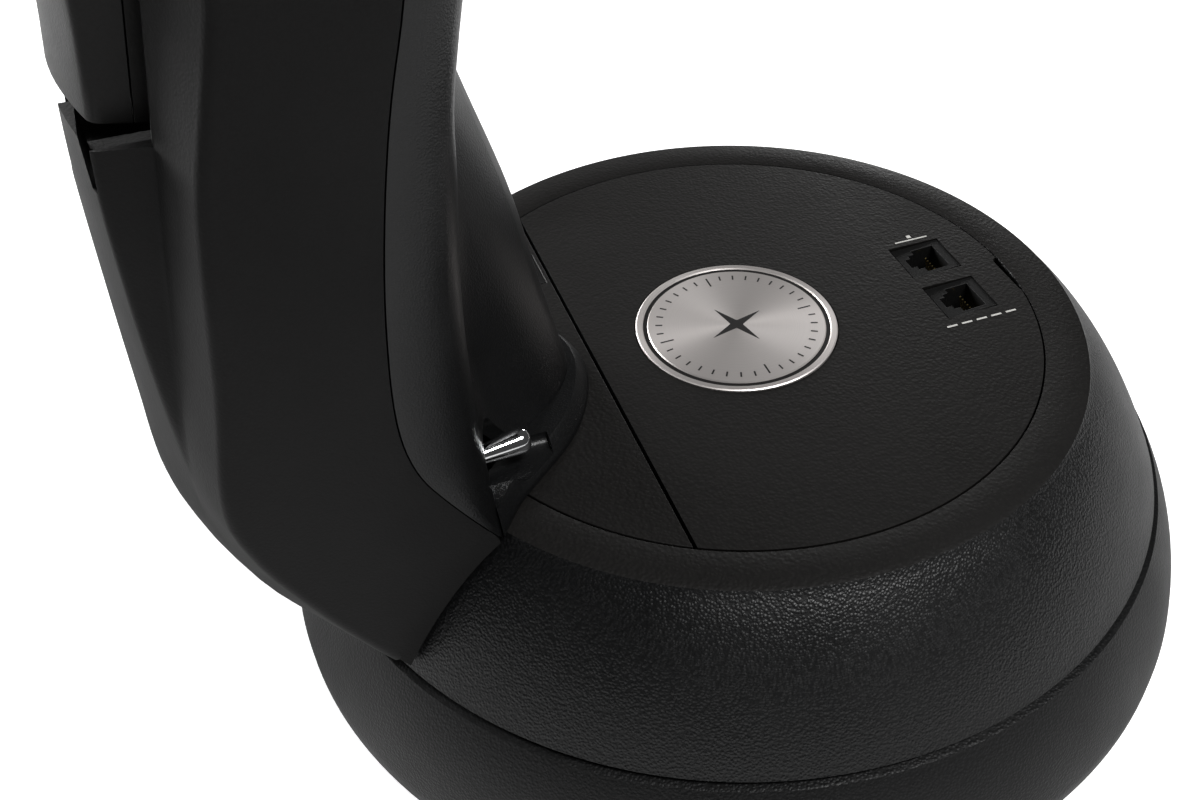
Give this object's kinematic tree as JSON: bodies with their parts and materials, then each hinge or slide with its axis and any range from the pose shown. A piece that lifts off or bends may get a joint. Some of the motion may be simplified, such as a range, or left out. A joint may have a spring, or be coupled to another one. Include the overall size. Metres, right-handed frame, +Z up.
{
  "type": "telescope mount with hand controller",
  "caption": "Motorised single-arm telescope mount on a round turning base, with a keypad hand controller docked in the arm and a dovetail saddle.",
  "frame": {"origin": "on the azimuth axis, at the underside of the base plate's centre boss", "axes": "+Z up along the azimuth axis, -X towards the arm, +X towards the two jacks, altitude axis along X"},
  "size_m": [0.2686, 0.2484, 0.355],
  "materials": {
    "satin": "satin fine-grained black moulding",
    "matte": "matt leather-grained black moulding",
    "inside": "plain dark moulding",
    "metal": "machined",
    "brass": "machined",
    "chrome": "polished",
    "rubber": "soft",
    "board": "green circuit board",
    "screen": "dark red window",
    "key": "silicone key caps"
  },
  "bodies": {
    "base": {"base_housing": "satin", "base_plate": "inside", "foot_pad_1": "rubber", "foot_pad_2": "rubber", "foot_pad_3": "rubber", "azimuth_post": "metal", "azimuth_wheel": "brass", "thrust_bearing": "metal"},
    "turntable": {"turntable_housing": "satin", "turntable_plate": "inside", "arm_foot_cover": "matte", "handset_port": "inside", "aux_jack": "inside", "guide_jack": "inside", "control_board": "board", "battery_tray": "inside", "azimuth_motor": "metal", "power_switch_body": "inside", "power_jack": "inside", "arm_outer_shell": "matte", "arm_inner_shell": "satin", "arm_frame": "metal", "altitude_motor": "metal"},
    "lid": {"battery_lid": "matte", "badge_disc": "metal"},
    "switch_lever": {"power_switch_lever": "chrome"},
    "azimuth_worm_drive": {"azimuth_worm": "brass"},
    "altitude_worm_drive": {"altitude_worm": "brass"},
    "altitude_head": {"altitude_wheel": "brass", "altitude_shaft": "satin", "saddle": "matte"},
    "clamp_knob": {"clamp_knob": "matte"},
    "clamp_jaw": {"clamp_jaw": "metal"},
    "handset": {"handset_front_shell": "matte", "handset_back_shell": "matte", "display_window": "screen", "display_module": "inside", "keypad_mat": "rubber", "handset_board": "board", "cord_socket": "inside"},
    "key_align": {"key_align": "key"},
    "key_enter": {"key_enter": "key"},
    "key_undo": {"key_undo": "key"},
    "key_up": {"key_up": "key"},
    "key_down": {"key_down": "key"},
    "key_left": {"key_left": "key"},
    "key_right": {"key_right": "key"},
    "key_1": {"key_1": "key"},
    "key_2": {"key_2": "key"},
    "key_3": {"key_3": "key"},
    "key_4": {"key_4": "key"},
    "key_5": {"key_5": "key"},
    "key_6": {"key_6": "key"},
    "key_7": {"key_7": "key"},
    "key_8": {"key_8": "key"},
    "key_9": {"key_9": "key"},
    "key_info": {"key_info": "key"},
    "key_0": {"key_0": "key"},
    "key_menu": {"key_menu": "key"}
  },
  "joints": [
    {"name": "azimuth", "type": "hinge", "parent": "base", "child": "turntable", "pos_m": [0, 0, 0.0356], "axis": [0, 0, 1], "continuous": true},
    {"name": "azimuth_worm_spin", "type": "hinge", "parent": "turntable", "child": "azimuth_worm_drive", "pos_m": [0, -0.0519, 0.049], "axis": [1, 0, 0], "continuous": true},
    {"name": "altitude", "type": "hinge", "parent": "turntable", "child": "altitude_head", "pos_m": [-0.069, 0, 0.297], "axis": [1, 0, 0], "range_deg": [-20, 90]},
    {"name": "altitude_worm_spin", "type": "hinge", "parent": "turntable", "child": "altitude_worm_drive", "pos_m": [-0.069, 0, 0.2571], "axis": [0, 1, 0], "continuous": true},
    {"name": "clamp_screw", "type": "hinge", "parent": "altitude_head", "child": "clamp_knob", "pos_m": [-0.039, 0, 0.257], "axis": [0, 0, 1], "range_deg": [-600, 360]},
    {"name": "clamp_travel", "type": "slide", "parent": "altitude_head", "child": "clamp_jaw", "axis": [0, 0, 1], "range_m": [-0.00205, 0.00124]},
    {"name": "lid_lift", "type": "slide", "parent": "turntable", "child": "lid", "axis": [0, 0, 1], "range_m": [0, 0.03]},
    {"name": "power_switch", "type": "hinge", "parent": "turntable", "child": "switch_lever", "pos_m": [-0.08, -0.032, 0.0802], "axis": [0, 0, -1], "range_deg": [0, 20]},
    {"name": "handset_lift", "type": "slide", "parent": "turntable", "child": "handset", "axis": [0.1736, 0, 0.9848], "range_m": [0, 0.06]},
    {"name": "press_align", "type": "slide", "parent": "handset", "child": "key_align", "axis": [0.9848, 0, -0.1736], "range_m": [0, 0.0012], "stiffness_N_per_m": 400, "springref_m": -0.0012},
    {"name": "press_enter", "type": "slide", "parent": "handset", "child": "key_enter", "axis": [0.9848, 0, -0.1736], "range_m": [0, 0.0012], "stiffness_N_per_m": 400, "springref_m": -0.0012},
    {"name": "press_undo", "type": "slide", "parent": "handset", "child": "key_undo", "axis": [0.9848, 0, -0.1736], "range_m": [0, 0.0012], "stiffness_N_per_m": 400, "springref_m": -0.0012},
    {"name": "press_up", "type": "slide", "parent": "handset", "child": "key_up", "axis": [0.9848, 0, -0.1736], "range_m": [0, 0.0012], "stiffness_N_per_m": 400, "springref_m": -0.0012},
    {"name": "press_down", "type": "slide", "parent": "handset", "child": "key_down", "axis": [0.9848, 0, -0.1736], "range_m": [0, 0.0012], "stiffness_N_per_m": 400, "springref_m": -0.0012},
    {"name": "press_left", "type": "slide", "parent": "handset", "child": "key_left", "axis": [0.9848, 0, -0.1736], "range_m": [0, 0.0012], "stiffness_N_per_m": 400, "springref_m": -0.0012},
    {"name": "press_right", "type": "slide", "parent": "handset", "child": "key_right", "axis": [0.9848, 0, -0.1736], "range_m": [0, 0.0012], "stiffness_N_per_m": 400, "springref_m": -0.0012},
    {"name": "press_1", "type": "slide", "parent": "handset", "child": "key_1", "axis": [0.9848, 0, -0.1736], "range_m": [0, 0.0012], "stiffness_N_per_m": 400, "springref_m": -0.0012},
    {"name": "press_2", "type": "slide", "parent": "handset", "child": "key_2", "axis": [0.9848, 0, -0.1736], "range_m": [0, 0.0012], "stiffness_N_per_m": 400, "springref_m": -0.0012},
    {"name": "press_3", "type": "slide", "parent": "handset", "child": "key_3", "axis": [0.9848, 0, -0.1736], "range_m": [0, 0.0012], "stiffness_N_per_m": 400, "springref_m": -0.0012},
    {"name": "press_4", "type": "slide", "parent": "handset", "child": "key_4", "axis": [0.9848, 0, -0.1736], "range_m": [0, 0.0012], "stiffness_N_per_m": 400, "springref_m": -0.0012},
    {"name": "press_5", "type": "slide", "parent": "handset", "child": "key_5", "axis": [0.9848, 0, -0.1736], "range_m": [0, 0.0012], "stiffness_N_per_m": 400, "springref_m": -0.0012},
    {"name": "press_6", "type": "slide", "parent": "handset", "child": "key_6", "axis": [0.9848, 0, -0.1736], "range_m": [0, 0.0012], "stiffness_N_per_m": 400, "springref_m": -0.0012},
    {"name": "press_7", "type": "slide", "parent": "handset", "child": "key_7", "axis": [0.9848, 0, -0.1736], "range_m": [0, 0.0012], "stiffness_N_per_m": 400, "springref_m": -0.0012},
    {"name": "press_8", "type": "slide", "parent": "handset", "child": "key_8", "axis": [0.9848, 0, -0.1736], "range_m": [0, 0.0012], "stiffness_N_per_m": 400, "springref_m": -0.0012},
    {"name": "press_9", "type": "slide", "parent": "handset", "child": "key_9", "axis": [0.9848, 0, -0.1736], "range_m": [0, 0.0012], "stiffness_N_per_m": 400, "springref_m": -0.0012},
    {"name": "press_info", "type": "slide", "parent": "handset", "child": "key_info", "axis": [0.9848, 0, -0.1736], "range_m": [0, 0.0012], "stiffness_N_per_m": 400, "springref_m": -0.0012},
    {"name": "press_0", "type": "slide", "parent": "handset", "child": "key_0", "axis": [0.9848, 0, -0.1736], "range_m": [0, 0.0012], "stiffness_N_per_m": 400, "springref_m": -0.0012},
    {"name": "press_menu", "type": "slide", "parent": "handset", "child": "key_menu", "axis": [0.9848, 0, -0.1736], "range_m": [0, 0.0012], "stiffness_N_per_m": 400, "springref_m": -0.0012}
  ],
  "couplings": [
    {"joint": "azimuth_worm_spin", "follows": "azimuth", "ratio": 48},
    {"joint": "altitude_worm_spin", "follows": "altitude", "ratio": 60},
    {"joint": "clamp_screw", "follows": "clamp_travel", "rad_per_m": 5026.5}
  ]
}
